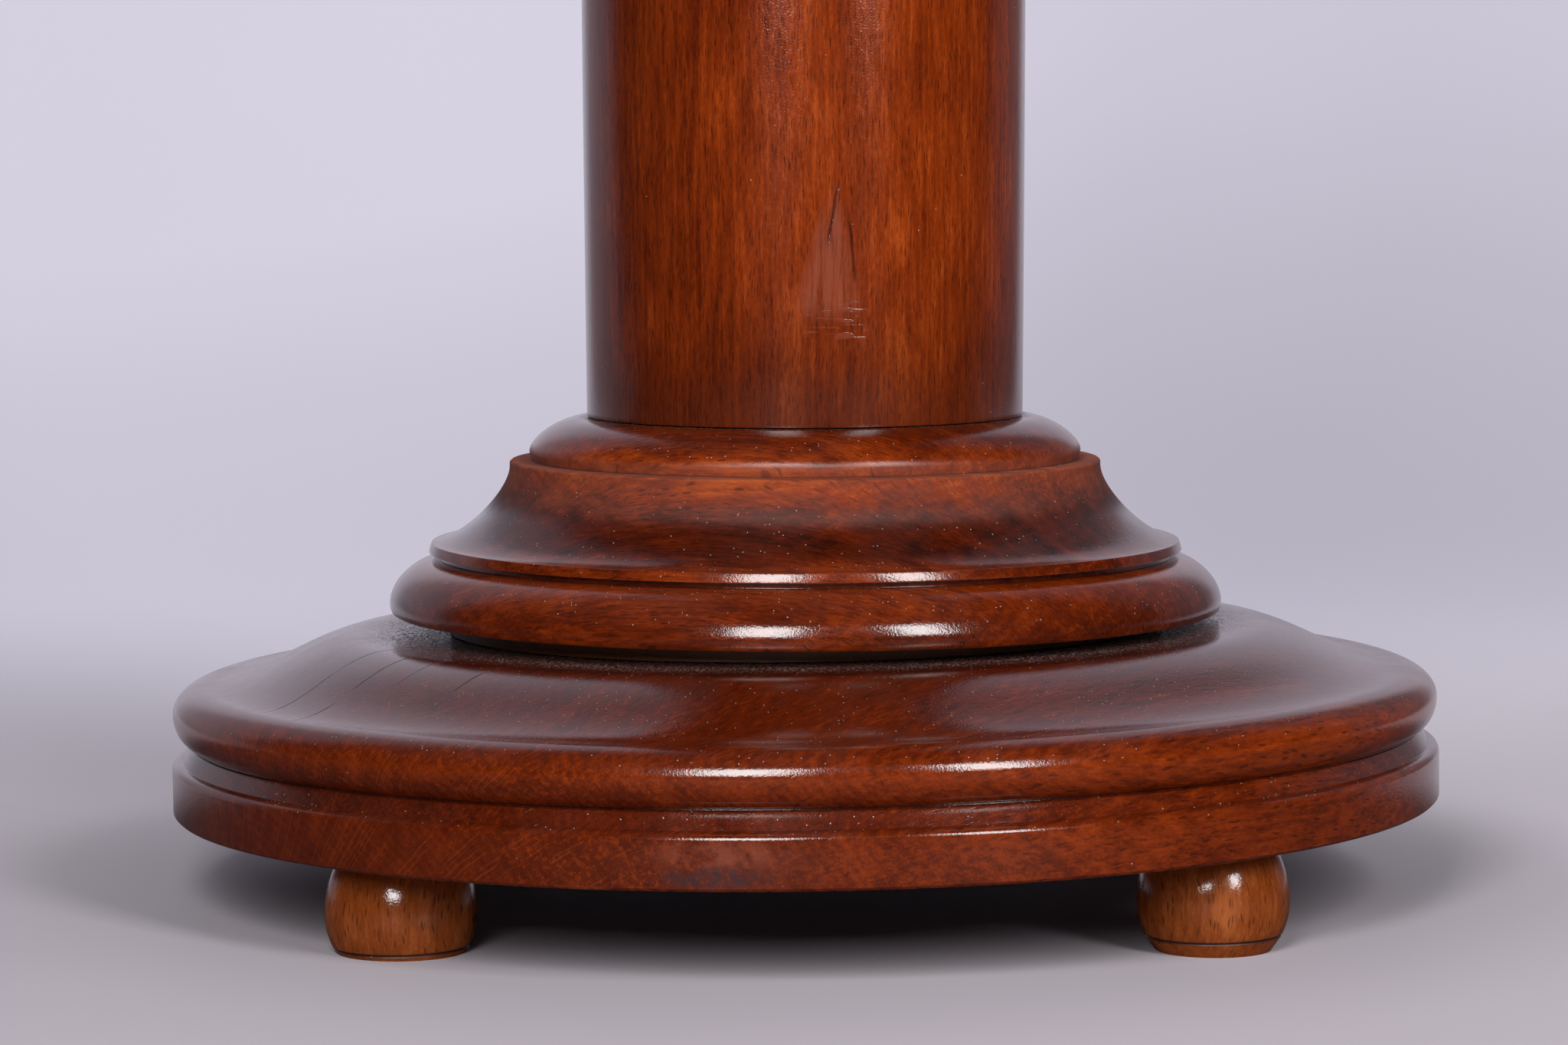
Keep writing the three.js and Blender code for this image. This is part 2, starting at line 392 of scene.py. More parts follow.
def close_mesh():
    """In edit mode: merges doubled corners and turns all faces outwards."""
    bpy.ops.mesh.select_all(action="SELECT")
    bpy.ops.mesh.remove_doubles(threshold=WELD)
    bpy.ops.mesh.normals_make_consistent(inside=False)


def cut_below(point, normal):
    """Saws off what lies below a plane on the piece in hand and closes the cut."""
    with whole_mesh():
        bpy.ops.mesh.bisect(
            plane_co=point, plane_no=normal, use_fill=True, clear_inner=True, threshold=CUT_ACCURACY
        )
        close_mesh()


def move_and_lean(offset):
    """Moves the piece in hand, then tilts it as the disc leans, about the middle of the disc's underside."""
    with whole_mesh():
        bpy.ops.transform.translate(value=offset)
        bpy.ops.transform.rotate(
            value=bpy.context.scene.pedestal_disc.lean, orient_axis="Y", orient_type="GLOBAL",
            center_override=(0, 0, disc_underside()),
        )


def finish_piece(piece, nodes, material):
    """Shades a piece, gives it its material and stands it in for its CAD nodes."""
    bpy.ops.object.select_all(action="DESELECT")
    piece.select_set(True)
    bpy.context.view_layer.objects.active = piece
    bpy.ops.object.shade_smooth_by_angle(angle=SMOOTH_ANGLE)
    piece.data.materials.clear()
    piece.data.materials.append(material)
    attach(piece, "root")
    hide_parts(*nodes)


def disc_underside():
    """The height at which the column's axis meets the underside of the leaning disc."""
    disc = bpy.context.scene.pedestal_disc
    return low("base_disc") + (disc.plinth_radius - disc.plinth_arris) * math.sin(disc.lean)


# Nodes

class Nodes:
    """Short calls that lay nodes in a shader tree and hand back their outputs."""

    def __init__(self, tree):
        self.tree = tree
        self.column = 0

    def add(self, kind, **settings):
        node = self.tree.nodes.new(kind)
        node.location = (180 * self.column, 0)
        self.column += 1
        for key, value in settings.items():
            setattr(node, key, value)
        return node

    def feed(self, socket, value):
        if isinstance(value, bpy.types.NodeSocket):
            self.tree.links.new(value, socket)
        elif value is not None:
            socket.default_value = value

    def math(self, operation, a, b=None, c=None, clamp=False):
        node = self.add("ShaderNodeMath", operation=operation, use_clamp=clamp)
        for socket, value in zip(node.inputs, (a, b, c)):
            self.feed(socket, value)
        return node.outputs[0]

    def times(self, first, *others):
        for other in others:
            first = self.math("MULTIPLY", first, other)
        return first

    def plus(self, a, b):
        return self.math("ADD", a, b)

    def minus(self, a, b):
        return self.math("SUBTRACT", a, b)

    def over(self, a, b):
        return self.math("DIVIDE", a, b)

    def larger(self, a, b):
        return self.math("MAXIMUM", a, b)

    def positive(self, a):
        return self.math("ABSOLUTE", a)

    def scaled(self, value, factor, start, clamp=False):
        """The value times the factor, on top of the start."""
        return self.math("MULTIPLY_ADD", value, factor, start, clamp)

    def vector(self, operation, a, b=None):
        node = self.add("ShaderNodeVectorMath", operation=operation)
        self.feed(node.inputs[0], a)
        self.feed(node.inputs[1], b)
        return node.outputs["Value" if operation in ("LENGTH", "DOT_PRODUCT") else "Vector"]

    def split(self, vector):
        node = self.add("ShaderNodeSeparateXYZ")
        self.feed(node.inputs[0], vector)
        return node.outputs[0], node.outputs[1], node.outputs[2]

    def join(self, x, y, z):
        node = self.add("ShaderNodeCombineXYZ")
        for socket, value in zip(node.inputs, (x, y, z)):
            self.feed(socket, value)
        return node.outputs[0]

    def noise(self, vector, scale=1.0, detail=2.0, roughness=0.5, distortion=0.0):
        node = self.add("ShaderNodeTexNoise", noise_dimensions="3D")
        self.feed(node.inputs["Vector"], vector)
        node.inputs["Scale"].default_value = scale
        node.inputs["Detail"].default_value = detail
        node.inputs["Roughness"].default_value = roughness
        node.inputs["Distortion"].default_value = distortion
        return node.outputs[0]

    def ramp(self, value, start, end, low=0.0, high=1.0):
        """A smooth step of the value between start and end."""
        node = self.add("ShaderNodeMapRange", interpolation_type="SMOOTHSTEP", clamp=True)
        for socket, given in zip(node.inputs, (value, start, end, low, high)):
            self.feed(socket, given)
        return node.outputs[0]

    def mix(self, factor, a, b, blend="MIX"):
        node = self.add("ShaderNodeMix", data_type="RGBA", blend_type=blend, clamp_factor=True)
        self.feed(node.inputs[0], factor)
        for socket, value in ((node.inputs[6], a), (node.inputs[7], b)):
            self.feed(socket, value if isinstance(value, bpy.types.NodeSocket) else (*value, 1.0))
        return node.outputs[2]

    def colours(self, value, stops):
        """A colour ramp through (place, colour) stops."""
        node = self.add("ShaderNodeValToRGB")
        elements = node.color_ramp.elements
        while len(elements) < len(stops):
            elements.new(0.5)
        for element, (place, rgb) in zip(elements, stops):
            element.position = place
            element.color = (*rgb, 1.0)
        self.feed(node.inputs[0], value)
        return node.outputs[0]

    def profile(self, value, stops):
        """A number between 0 and 1 that follows (place, number) stops over the value."""
        start, finish = stops[0][0], stops[-1][0]
        along = self.ramp(value, start, finish)
        self.tree.nodes[-1].interpolation_type = "LINEAR"
        greys = [((place - start) / (finish - start), (number,) * 3) for place, number in stops]
        return self.colours(along, greys)

    def blot(self, place, middle, half, soft=0.5):
        """An oval patch round a point, by its half widths, with an edge that fades over the soft share."""
        away = self.vector("DIVIDE", self.vector("SUBTRACT", place, middle), half)
        return self.ramp(self.vector("LENGTH", away), 1.0, 1.0 - soft)

    def group(self, tree, **values):
        node = self.add("ShaderNodeGroup")
        node.node_tree = tree
        for key, value in values.items():
            self.feed(node.inputs[key.replace("_", " ").capitalize()], value)
        return node.outputs


def new_group(name, inputs, outputs):
    """An empty node group with named sockets: (group, its nodes, its inlets, its outlet node)."""
    tree = bpy.data.node_groups.new(name, "ShaderNodeTree")
    for socket, kind, default in inputs:
        made = tree.interface.new_socket(name=socket, in_out="INPUT", socket_type=kind)
        made.default_value = default
    for socket in outputs:
        tree.interface.new_socket(name=socket, in_out="OUTPUT", socket_type="NodeSocketFloat")
    nodes = Nodes(tree)
    inlet = nodes.add("NodeGroupInput")
    outlet = nodes.add("NodeGroupOutput")
    return tree, nodes, inlet.outputs, outlet.inputs


VECTOR = "NodeSocketVector"
VALUE = "NodeSocketFloat"


def beech_figure():
    """Grain of a log whose pith is the Z axis of Place: rays, streaks, rings, mottle and pores."""
    tree, n, given, out = new_group(
        "Beech figure",
        (
            ("Place", VECTOR, (0, 0, 0)),
            ("Grain", VECTOR, (0, 0, 1)),
            ("Girth", VALUE, 0.12),
            ("Ray spacing", VALUE, 0.9 * MM),
            ("Ray length", VALUE, 8.0 * MM),
        ),
        ("Ray", "Streak", "Ring", "Mottle", "Speckle", "Pore", "End"),
    )
    x, y, z = n.split(given["Place"])
    radius = n.vector("LENGTH", n.join(x, y, 0.0))
    around = n.times(n.math("ARCTAN2", y, x), given["Girth"])

    def stretched(across, outward, along):
        parts = ((around, across), (radius, outward), (z, along))
        return n.join(*(n.over(part, spacing) for part, spacing in parts))

    cells = n.add("ShaderNodeTexVoronoi", voronoi_dimensions="2D", feature="F1")
    bent = n.scaled(n.noise(given["Place"], scale=1 / (7 * MM), detail=1.0), 1.2 * MM, around)
    across = n.over(bent, given["Ray spacing"])
    n.feed(cells.inputs["Vector"], n.join(across, n.over(z, given["Ray length"]), 0.0))
    cells.inputs["Scale"].default_value = 1.0
    strength = n.ramp(n.split(cells.outputs["Color"])[0], 0.1, 0.8)
    n.feed(out["Ray"], n.times(n.ramp(cells.outputs["Distance"], 0.24, 0.13), strength))
    n.feed(out["Streak"], n.noise(stretched(0.8 * MM, 1.6 * MM, 20 * MM), detail=4.0, roughness=0.6))
    spots = n.noise(stretched(1.2 * MM, 1.4 * MM, 2.8 * MM), detail=2.0, roughness=0.6)
    n.feed(out["Speckle"], n.ramp(spots, 0.50, 0.62))
    wander = n.noise(given["Place"], scale=1 / (35 * MM), detail=1.0)
    rings = n.plus(n.over(radius, 2.6 * MM), n.times(wander, 3.5))
    n.feed(out["Ring"], n.math("PINGPONG", rings, 0.5))
    mottle = n.noise(stretched(7 * MM, 9 * MM, 34 * MM), detail=4.0, roughness=0.56, distortion=0.3)
    n.feed(out["Mottle"], mottle)
    n.feed(out["Pore"], n.noise(stretched(0.45 * MM, 0.45 * MM, 2.4 * MM), detail=2.0, roughness=0.7))
    facing = n.vector("DOT_PRODUCT", n.add("ShaderNodeNewGeometry").outputs["Normal"], given["Grain"])
    n.feed(out["End"], n.math("POWER", n.positive(facing), 1.6))
    return tree


def rubbed_edges_and_crease_shade():
    """Where hands and cloths rub the stain off, and painted shade that darkens concave creases."""
    tree, n, given, out = new_group(
        "Rubbed edges and crease shade", (("Place", VECTOR, (0, 0, 0)), ("Amount", VALUE, 0.5)), ("Worn", "Crease shade")
    )
    point = n.add("ShaderNodeNewGeometry").outputs["Pointiness"]
    patchy = n.ramp(n.noise(given["Place"], scale=1 / (6 * MM), detail=4.0, roughness=0.7), 0.36, 0.66)
    convex = n.ramp(point, 0.505, 0.56)
    n.feed(out["Worn"], n.times(convex, patchy, given["Amount"]))
    # Painted shade: concave creases, found by pointiness.
    n.feed(out["Crease shade"], n.ramp(point, 0.495, 0.44))
    return tree


def settled_dust():
    """Pale specks and a thin film on what faces up, thicker where Gather says."""
    tree, n, given, out = new_group(
        "Settled dust",
        (("Place", VECTOR, (0, 0, 0)), ("Amount", VALUE, 0.5), ("Gather", VALUE, 0.0)),
        ("Speck", "Film"),
    )
    up = n.split(n.add("ShaderNodeNewGeometry").outputs["Normal"])[2]
    facing = n.ramp(up, 0.15, 0.95)
    drift = n.ramp(n.noise(given["Place"], scale=1 / (28 * MM), detail=3.0), 0.35, 0.7)
    cells = n.add("ShaderNodeTexVoronoi", feature="F1")
    n.feed(cells.inputs["Vector"], given["Place"])
    cells.inputs["Scale"].default_value = 1 / (1.2 * MM)
    chance = n.split(cells.outputs["Color"])[0]
    cover = n.times(n.scaled(facing, 0.5, 0.006), given["Amount"], n.plus(drift, 0.35))
    cover = n.plus(cover, n.times(given["Gather"], 0.7))
    chosen = n.math("LESS_THAN", chance, cover)
    grain = n.ramp(cells.outputs["Distance"], n.scaled(given["Gather"], 0.2, 0.2), 0.07)
    n.feed(out["Speck"], n.times(chosen, grain))
    film = n.times(facing, drift, given["Amount"])
    grainy = n.ramp(n.noise(given["Place"], scale=1 / (0.8 * MM), detail=2.0), 0.42, 0.68, 0.0, 5.0)
    n.feed(out["Film"], n.scaled(given["Gather"], grainy, film))
    return tree


def repair_scuff():
    """A filled and rubbed dent. Place is centred on it: 1 is half its width in X and half its height in Z."""
    tree, n, given, out = new_group(
        "Repair scuff", (("Place", VECTOR, (0, 0, 0)),), ("Milk", "Scratch", "Crack")
    )
    x, y, z = n.split(given["Place"])
    front = n.math("LESS_THAN", y, 0.0)
    waist = n.ramp(z, -0.8, 0.8, 0.85, 0.2)
    across = n.over(n.positive(n.minus(x, n.times(z, 0.1))), waist)
    inside = n.ramp(across, 1.2, 0.4)
    span = n.times(n.ramp(z, -1.0, -0.65), n.ramp(z, 0.7, 0.1))
    patch = n.times(inside, span, front)
    brushed = n.noise(n.join(n.times(x, 7.0), 0.0, n.times(z, 1.1)), detail=4.0, roughness=0.65)
    n.feed(out["Milk"], n.times(patch, n.ramp(brushed, 0.32, 0.6)))
    foot = n.times(n.ramp(z, -1.2, -1.05), n.ramp(z, -0.55, -0.75))
    rows = n.noise(n.join(n.times(x, 1.4), 0.0, n.times(z, 20.0)), detail=2.0)
    beside = n.ramp(n.positive(n.minus(x, 0.15)), 0.95, 0.6)
    n.feed(out["Scratch"], n.times(foot, beside, n.ramp(rows, 0.54, 0.62), front))
    cracks = None
    for offset, slope, bottom, top in ((-0.1, 0.41, -0.12, 0.78), (0.5, -0.24, -0.55, 0.4)):
        line = n.plus(n.times(z, slope), offset)
        wobble = n.times(n.noise(n.join(offset, 0.0, z), scale=3.0), 0.1)
        gap = n.positive(n.minus(n.minus(x, line), wobble))
        ends = n.times(n.ramp(z, bottom, bottom + 0.25), n.ramp(z, top, top - 0.3))
        crack = n.times(n.ramp(gap, 0.06, 0.01), ends)
        cracks = crack if cracks is None else n.larger(cracks, crack)
    n.feed(out["Crack"], n.times(cracks, front))
    return tree


def drying_checks():
    """Hairline checks that run with the grain, at set places across it, on one side of the disc."""
    tree, n, given, out = new_group("Drying checks", (("Place", VECTOR, (0, 0, 0)),), ("Check",))
    x, y, z = n.split(given["Place"])
    sway = n.times(n.noise(n.join(0.0, 0.0, z), scale=1 / (40 * MM), detail=1.0), 3 * MM)
    nearest = None
    for place in CHECK_PLACES:
        gap = n.positive(n.minus(n.plus(x, sway), place))
        nearest = gap if nearest is None else n.math("MINIMUM", nearest, gap)
    stretch = n.join(n.over(x, 9 * MM), 0.0, n.over(z, 26 * MM))
    broken = n.ramp(n.noise(stretch), 0.42, 0.52)
    side = n.times(n.ramp(z, 92 * MM, 104 * MM), n.ramp(z, 172 * MM, 156 * MM))
    hairline = n.ramp(nearest, 0.3 * MM, 0.08 * MM)
    n.feed(out["Check"], n.times(hairline, broken, side))
    return tree


CHECK_PLACES = (2 * MM, 21 * MM, 36 * MM, 59 * MM)


class Log:
    """Where a piece was cut from its log: the pith's place and the grain's direction."""

    def __init__(self, pith, azimuth=None, girth=0.12, ray_spacing=0.9 * MM, ray_length=8.0 * MM):
        self.pith = pith
        lies = azimuth is not None
        self.turn = Euler((math.pi / 2, 0, azimuth) if lies else (0, 0, 0))
        self.grain = self.turn.to_matrix() @ Vector((0, 0, 1))
        self.girth = girth
        self.ray_spacing = ray_spacing
        self.ray_length = ray_length


def shared_group(name, maker):
    """A node group, made once."""
    return bpy.data.node_groups.get(name) or maker()


def polished_wood(name, log, stain, wear=1.0, dust=1.0, tone=0.5, cloud=0.7, depth=None, extra=None):
    """Stained, polished beech.

    Cloud is how strongly the stain varies in broad patches. Depth gives how much stain each place took, as
    a number that is 0.5 where it is even. Extra may add a repair, checks or a raw neck to colour, roughness
    and height.
    """
    finish = bpy.context.scene.pedestal_finish
    material = bpy.data.materials.new(name)
    material.use_nodes = True
    n = Nodes(material.node_tree)
    shader = material.node_tree.nodes["Principled BSDF"]
    place = n.add("ShaderNodeTexCoord").outputs["Object"]
    mapping = n.add("ShaderNodeMapping", vector_type="TEXTURE")
    n.feed(mapping.inputs["Vector"], place)
    mapping.inputs["Location"].default_value = log.pith
    mapping.inputs["Rotation"].default_value = log.turn
    grained = mapping.outputs[0]
    figure = n.group(
        shared_group("Beech figure", beech_figure), place=grained, grain=log.grain, girth=log.girth,
        ray_spacing=log.ray_spacing, ray_length=log.ray_length,
    )
    edges = n.group(shared_group("Rubbed edges and crease shade", rubbed_edges_and_crease_shade), place=place, amount=finish.edge_wear * wear)
    parts = {"place": place, "grained": grained, "figure": figure, "gather": None}
    across = n.minus(1.0, figure["End"])

    oblique = n.times(n.ramp(figure["End"], 0.6, 0.74), n.ramp(figure["End"], 0.98, 0.86))
    fine = n.scaled(figure["End"], -0.4, 0.65)
    shade = n.scaled(n.minus(figure["Streak"], 0.5), fine, tone)
    shade = n.scaled(n.minus(figure["Mottle"], 0.5), cloud, shade)
    shade = n.scaled(n.minus(figure["Ring"], 0.25), 0.12, shade)
    shade = n.scaled(n.minus(figure["Pore"], 0.5), 0.36, shade)
    speckled = n.scaled(oblique, 0.12, 0.01)
    shade = n.scaled(n.minus(figure["Speckle"], 0.4), speckled, shade)
    if depth:
        shade = n.plus(shade, n.minus(depth(n, parts), 0.5))
    shade = n.scaled(figure["End"], -0.12, shade, clamp=True)
    colour_now = n.colours(shade, stain)
    fleck = n.times(figure["Ray"], across, 0.55)
    colour_now = n.mix(fleck, colour_now, finish.fleck)
    streaks = n.times(figure["Ray"], n.ramp(figure["End"], 0.6, 0.95), 0.2)
    colour_now = n.mix(streaks, colour_now, stain[-1][1])
    colour_now = n.mix(edges["Worn"], colour_now, stain[-1][1])
    # Painted shade: concave creases darkened towards the fleck colour.
    colour_now = n.mix(n.times(edges["Crease shade"], 0.8), colour_now, finish.fleck)
    rough = n.scaled(figure["Mottle"], 0.09, 0.03)
    rough = n.scaled(figure["Pore"], 0.14, rough)
    peel = n.noise(place, scale=1 / (2.6 * MM), detail=2.0)
    grit = n.noise(place, scale=1 / (0.55 * MM), detail=1.0)
    height = n.scaled(figure["Pore"], 0.8, n.times(peel, 1.8))
    height = n.scaled(grit, 2.8, height)
    height = n.scaled(figure["Ray"], -0.7, height)
    parts.update(colour=colour_now, rough=rough, height=height)
    if extra:
        extra(n, parts)
    dusted = n.group(
        shared_group("Settled dust", settled_dust), place=place,
        amount=finish.dustiness * dust, gather=parts["gather"],
    )
    film = n.times(dusted["Film"], 0.03)
    settled = n.larger(n.times(dusted["Speck"], 0.8), film)
    n.feed(shader.inputs["Base Color"], n.mix(settled, parts["colour"], finish.dust))
    rough = n.scaled(dusted["Film"], 0.08, parts["rough"])
    n.feed(shader.inputs["Roughness"], n.scaled(dusted["Speck"], 0.5, rough))
    bump = n.add("ShaderNodeBump")
    bump.inputs["Strength"].default_value = 1.0
    bump.inputs["Distance"].default_value = 0.012 * MM
    n.feed(bump.inputs["Height"], n.scaled(dusted["Speck"], 6.0, parts["height"]))
    n.feed(shader.inputs["Normal"], bump.outputs[0])
    shader.inputs["IOR"].default_value = 1.5
    return material


def dark_stain(finish, depth=0.0):
    """Colour stops of the red-brown stain. Depth moves them towards the dark end."""
    return (
        (0.06 + depth, finish.shadow),
        (0.40 + depth, finish.deep),
        (0.68 + depth, finish.warm),
        (1.0, finish.bright),
    )


def pale_stain(finish):
    """Colour stops of the feet's lighter stain."""
    return (
        (0.05, finish.pale_shadow),
        (0.45, finish.pale_deep),
        (0.75, finish.pale_bright),
        (1.0, finish.pale_bright),
    )


def gather_round(n, parts, radius, reach_out, above):
    """Dust that gathers in the corner round whatever stands on a piece, above a height."""
    x, y, z = n.split(parts["place"])
    away = n.vector("LENGTH", n.join(x, y, 0.0))
    parts["gather"] = n.times(n.ramp(away, radius + reach_out, radius), n.ramp(z, above, above + MM))


# Pieces

class PedestalOperator:
    """What the pedestal's operators have in common."""

    bl_options = {"REGISTER", "UNDO"}


class PEDESTAL_OT_base_disc(PedestalOperator, bpy.types.Operator):
    """Turn the base disc: plinth, groove, nose and the S-curve up to the seat"""

    bl_idname = "pedestal.base_disc"
    bl_label = "Base disc"

    grain_azimuth = math.radians(-44.6)
    pith_aside = -45 * MM
    pith_below = 70 * MM

    def execute(self, context):
        sizes = context.scene.pedestal_disc
        finish = context.scene.pedestal_finish
        groove_height = sizes.plinth_side + sizes.round_rise + sizes.slope_rise
        section = (
            Section(0)
            .to(sizes.plinth_radius - sizes.plinth_arris, 0)
            .by(sizes.plinth_arris, sizes.plinth_arris)
            .by(0, sizes.plinth_side - sizes.plinth_arris)
            .upright_to_level(-sizes.round_width, sizes.round_rise, steps=10)
            .to(sizes.groove_radius + sizes.groove_corner, groove_height)
            .level_to_upright(-sizes.groove_corner, sizes.groove_height, steps=6)
            .level_to_upright(sizes.nose_radius - sizes.groove_radius, sizes.nose_lower_rise)
            .upright_to_level(-sizes.nose_upper_width, sizes.nose_upper_rise)
            .swell(-sizes.swell_width, sizes.swell_rise)
            .close()
        )
        piece = turn_piece("turned_base_disc", section)
        underside = disc_underside()
        move_and_lean((0, 0, underside))
        across = Vector((math.cos(self.grain_azimuth), math.sin(self.grain_azimuth), 0)) * self.pith_aside
        pith = (across.x, across.y, underside - self.pith_below)
        log = Log(pith, self.grain_azimuth, ray_spacing=0.8 * MM)
        slope_foot = sizes.plinth_side + sizes.round_rise
        nose_foot = groove_height + sizes.groove_height
        nose_waist = nose_foot + sizes.nose_lower_rise
        nose_top = nose_waist + sizes.nose_upper_rise

        def depth(n, parts):
            """The nose took less stain than the slope and the top; the plinth lies between them."""
            x, y, z = n.split(parts["place"])
            level = n.scaled(x, -math.tan(sizes.lean), n.minus(z, underside))
            return n.profile(level, (
                (0.0, 0.48), (sizes.plinth_side, 0.50), (slope_foot, 0.38), (nose_foot, 0.42),
                (nose_waist, 0.62), (nose_top, 0.37), (nose_top + sizes.swell_rise, 0.28),
            ))

        material = polished_wood(
            "dark_beech_disc", log, dark_stain(finish, 0.02),
            tone=0.55, cloud=0.42, depth=depth, extra=disc_marks,
        )
        finish_piece(piece, ["base_disc"], material)
        return {"FINISHED"}


SMUDGE = ((-23 * MM, -179 * MM, 30 * MM), (20 * MM, 12 * MM, 4 * MM))
MILKY_PATCH = ((-22 * MM, -179 * MM, 36 * MM), (24 * MM, 12 * MM, 5 * MM))


def disc_marks(n, parts):
    """Drying checks on the left, a smudge low on the front, and dust on the seat round the neck."""
    finish = bpy.context.scene.pedestal_finish
    checks = n.group(shared_group("Drying checks", drying_checks), place=parts["grained"])["Check"]
    up = n.split(n.add("ShaderNodeNewGeometry").outputs["Normal"])[2]
    checks = n.times(checks, n.ramp(up, 0.7, 0.9))
    parts["colour"] = n.mix(n.times(checks, 0.75), parts["colour"], finish.fleck)
    parts["height"] = n.scaled(checks, -9.0, parts["height"])
    parts["rough"] = n.scaled(checks, 0.5, parts["rough"])
    broken = n.ramp(n.noise(parts["place"], scale=1 / (6 * MM), detail=4.0, roughness=0.65), 0.35, 0.6)
    for patch, tint, strength in ((MILKY_PATCH, finish.milk, 0.5), (SMUDGE, finish.smudge, 0.85)):
        mask = n.times(n.blot(parts["place"], *patch, soft=0.7), broken)
        parts["colour"] = n.mix(n.times(mask, strength), parts["colour"], tint)
    thumb = bpy.context.scene.pedestal_column_base.thumb_radius
    gather_round(n, parts, radius=thumb - 4 * MM, reach_out=15 * MM, above=70 * MM)


class PEDESTAL_OT_column_base(PedestalOperator, bpy.types.Operator):
    """Turn the foot of the column: neck, thumb, quirk, fillet, hollow, lip and collar"""

    bl_idname = "pedestal.column_base"
    bl_label = "Column base"

    thumb_handle = 0.49
    collar_handle = 0.41
    hollow_handle = 0.35
    neck_surplus = 4 * MM

    def execute(self, context):
        sizes = context.scene.pedestal_column_base
        lean = context.scene.pedestal_disc.lean
        finish = context.scene.pedestal_finish
        foot = low("column_base") + sizes.neck_radius * math.tan(lean)
        top = high("column_base")
        thumb_foot = foot + sizes.neck_height
        fillet_foot = thumb_foot + sizes.thumb_foot_rise + sizes.thumb_crown_rise + sizes.quirk_height
        collar_foot = top - sizes.collar_crown_rise - sizes.collar_tuck_rise
        hollow_foot = fillet_foot + sizes.fillet_height
        hollow_rise = collar_foot - sizes.lip_height - hollow_foot
        section = (
            Section(foot - self.neck_surplus)
            .to(sizes.neck_radius, foot - self.neck_surplus)
            .to(sizes.neck_radius, thumb_foot)
            .to(sizes.thumb_radius - sizes.thumb_foot_width, thumb_foot)
            .level_to_upright(sizes.thumb_foot_width, sizes.thumb_foot_rise, steps=5)
            .upright_to_level(-sizes.thumb_crown_width, sizes.thumb_crown_rise, self.thumb_handle, 18)
            .by(0, sizes.quirk_height)
            .to(sizes.fillet_radius, fillet_foot)
            .crowned(-sizes.fillet_arris, sizes.fillet_height)
            .level_to_upright(
                sizes.lip_radius - sizes.fillet_radius + sizes.fillet_arris, hollow_rise,
                self.hollow_handle, 26,
            )
            .by(0, sizes.lip_height - sizes.lip_arris)
            .by(-sizes.lip_arris, sizes.lip_arris)
            .to(sizes.collar_radius - sizes.collar_tuck, collar_foot)
            .by(sizes.collar_tuck, sizes.collar_tuck_rise)
            .upright_to_level(-sizes.collar_crown_width, sizes.collar_crown_rise, self.collar_handle, 18)
            .close()
        )
        piece = turn_piece("turned_column_base", section)
        cut_below((0, 0, foot), (-math.sin(lean), 0, math.cos(lean)))
        log = Log((-0.03, 0.02, -0.06), math.radians(72), girth=0.15, ray_spacing=0.9 * MM, ray_length=7 * MM)

        thumb_top = thumb_foot + sizes.thumb_foot_rise + sizes.thumb_crown_rise
        lip_foot = collar_foot - sizes.lip_height
        collar_waist = collar_foot + sizes.collar_tuck_rise

        def depth(n, parts):
            """Stain lies deep low in the hollow and is rubbed thin at its top, on the collar and fillet."""
            ragged = n.noise(parts["place"], scale=1 / (9 * MM), detail=4.0, roughness=0.65)
            height = n.scaled(n.minus(ragged, 0.5), 9 * MM, n.split(parts["place"])[2])
            return n.profile(height, (
                (thumb_foot - 6 * MM, 0.44), (thumb_foot + sizes.thumb_foot_rise, 0.46),
                (thumb_top - 5 * MM, 0.50), (thumb_top, 0.62), (fillet_foot, 0.56), (hollow_foot, 0.52),
                (hollow_foot + 3 * MM, 0.24), (hollow_foot + 0.5 * hollow_rise, 0.30),
                (lip_foot - 4 * MM, 0.64), (lip_foot, 0.78), (collar_waist, 0.76),
                (top - 4 * MM, 0.50), (top + 4 * MM, 0.34),
            ))

        def marks(n, parts):
            """Bare, dusty wood below the thumb, and worn polish high in the hollow and on the collar."""
            height = n.split(parts["place"])[2]
            neck = n.ramp(height, thumb_foot + 0.2 * MM, thumb_foot - 0.1 * MM)
            parts["colour"] = n.mix(n.times(neck, 0.6), parts["colour"], finish.raw)
            above_hollow = n.ramp(height, hollow_foot + 7 * MM, lip_foot - 4 * MM)
            below_crown = n.ramp(height, collar_waist + 3 * MM, collar_foot)
            patchy = n.ramp(parts["figure"]["Mottle"], 0.35, 0.65, 0.75, 0.9)
            worn = n.times(above_hollow, below_crown, patchy)
            parts["rough"] = n.plus(n.scaled(neck, 0.4, parts["rough"]), worn)
            shaft_radius = bpy.context.scene.pedestal_shaft.foot_radius
            gather_round(n, parts, radius=shaft_radius, reach_out=3 * MM, above=top - 4 * MM)

        material = polished_wood(
            "polished_beech_foot", log, dark_stain(finish), tone=0.5, depth=depth, extra=marks
        )
        finish_piece(piece, ["column_base"], material)
        return {"FINISHED"}


